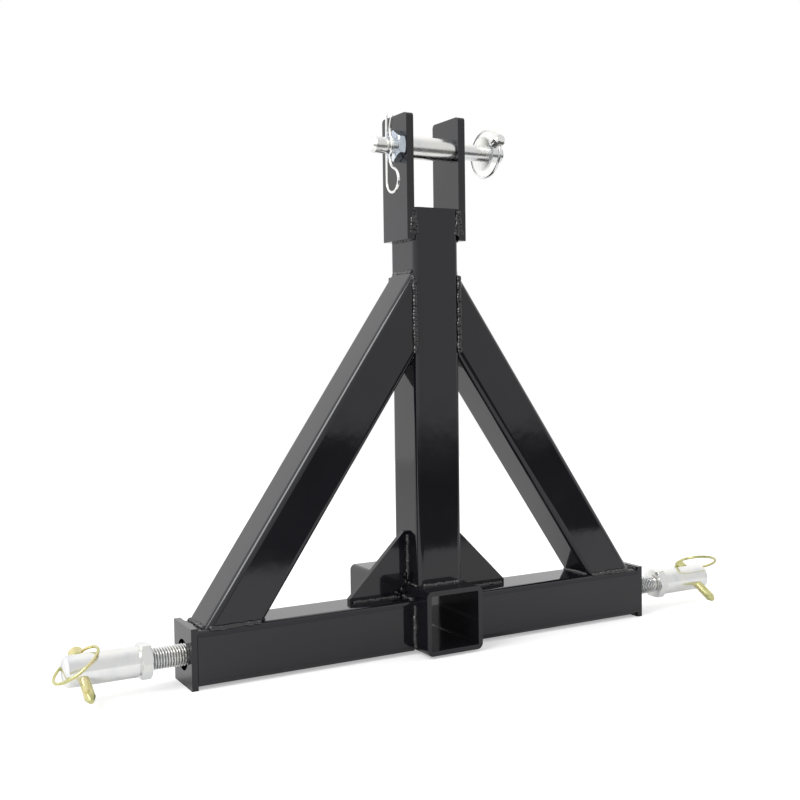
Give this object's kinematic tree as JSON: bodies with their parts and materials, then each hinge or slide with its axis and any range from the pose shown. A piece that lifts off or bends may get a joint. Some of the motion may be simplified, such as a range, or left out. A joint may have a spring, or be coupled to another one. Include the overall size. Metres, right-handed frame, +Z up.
{
  "type": "three-point trailer hitch",
  "caption": "Welded A-frame of square tube with a receiver socket, screw-in lower link pins held by linchpins, and a clevis with a top link pin.",
  "frame": {"origin": "on the underside of the receiver tube, below the crossbar's centre line and midway between the end plates", "axes": "+X across the hitch to the side with the longer stud, +Y along the receiver to its long end, +Z up"},
  "size_m": [0.7622, 0.1663, 0.531],
  "materials": {
    "black_powder_coat": "gloss black powder coat",
    "bright_zinc": "bright zinc plate, turned",
    "yellow_zinc": "yellow zinc plate"
  },
  "bodies": {
    "frame": {"receiver_tube": "black_powder_coat", "crossbar_left": "black_powder_coat", "crossbar_right": "black_powder_coat", "end_plate_left": "black_powder_coat", "end_plate_right": "black_powder_coat", "mast": "black_powder_coat", "brace_left": "black_powder_coat", "brace_right": "black_powder_coat", "ear_left": "black_powder_coat", "ear_right": "black_powder_coat", "gusset_left": "black_powder_coat", "gusset_right": "black_powder_coat", "weld_nut_left": "black_powder_coat", "weld_nut_right": "black_powder_coat", "receiver_welds": "black_powder_coat", "mast_foot_welds": "black_powder_coat", "brace_head_welds": "black_powder_coat", "brace_foot_welds": "black_powder_coat", "ear_welds": "black_powder_coat", "gusset_welds": "black_powder_coat", "end_plate_welds": "black_powder_coat"},
    "lower_pin_left": {"lower_pin_left": "bright_zinc"},
    "lower_linchpin_left": {"lower_linchpin_left": "yellow_zinc"},
    "lower_ring_left": {"lower_ring_left": "yellow_zinc"},
    "lower_pin_right": {"lower_pin_right": "bright_zinc"},
    "lower_linchpin_right": {"lower_linchpin_right": "yellow_zinc"},
    "lower_ring_right": {"lower_ring_right": "yellow_zinc"},
    "top_pin": {"top_pin": "bright_zinc", "top_nut": "bright_zinc", "top_washer": "bright_zinc"},
    "top_sleeve": {"top_sleeve": "bright_zinc"},
    "hairpin_clip": {"hairpin_clip": "bright_zinc"},
    "top_linchpin": {"top_linchpin": "bright_zinc"},
    "top_ring": {"top_ring": "bright_zinc"}
  },
  "joints": [
    {"name": "lower_pin_left_screw", "type": "slide", "parent": "frame", "child": "lower_pin_left", "axis": [-1, 0, 0], "range_m": [-0.0307, 0.012]},
    {"name": "lower_linchpin_left_pull", "type": "slide", "parent": "lower_pin_left", "child": "lower_linchpin_left", "axis": [0, 0.891, 0.454], "range_m": [0, 0.005]},
    {"name": "lower_ring_left_swing", "type": "hinge", "parent": "lower_linchpin_left", "child": "lower_ring_left", "pos_m": [-0.351, 0.01764, 0.03439], "axis": [0.7986, -0.2732, 0.5362], "range_deg": [-150, 0]},
    {"name": "lower_pin_right_screw", "type": "slide", "parent": "frame", "child": "lower_pin_right", "axis": [1, 0, 0], "range_m": [-0.0367, 0.006]},
    {"name": "lower_linchpin_right_pull", "type": "slide", "parent": "lower_pin_right", "child": "lower_linchpin_right", "axis": [0, 0.8746, 0.4848], "range_m": [0, 0.055]},
    {"name": "lower_ring_right_swing", "type": "hinge", "parent": "lower_linchpin_right", "child": "lower_ring_right", "pos_m": [0.357, 0.01732, 0.035], "axis": [0.9397, 0.1658, -0.2991], "range_deg": [-110, 14]},
    {"name": "top_pin_slide", "type": "slide", "parent": "frame", "child": "top_pin", "axis": [-1, 0, 0], "range_m": [0, 0.0282]},
    {"name": "top_sleeve_turn", "type": "hinge", "parent": "frame", "child": "top_sleeve", "pos_m": [0, -0.009, 0.4964], "axis": [1, 0, 0], "continuous": true},
    {"name": "hairpin_clip_play", "type": "slide", "parent": "top_pin", "child": "hairpin_clip", "axis": [0, 0, -1], "range_m": [-0.0032, 0.0032]},
    {"name": "top_linchpin_pull", "type": "slide", "parent": "top_pin", "child": "top_linchpin", "axis": [0, -0.9063, 0.4226], "range_m": [0, 0.0045]},
    {"name": "top_ring_swing", "type": "hinge", "parent": "top_linchpin", "child": "top_ring", "pos_m": [0.069, -0.02966, 0.50604], "axis": [0, -0.4226, -0.9063], "range_deg": [-36, 150]}
  ]
}
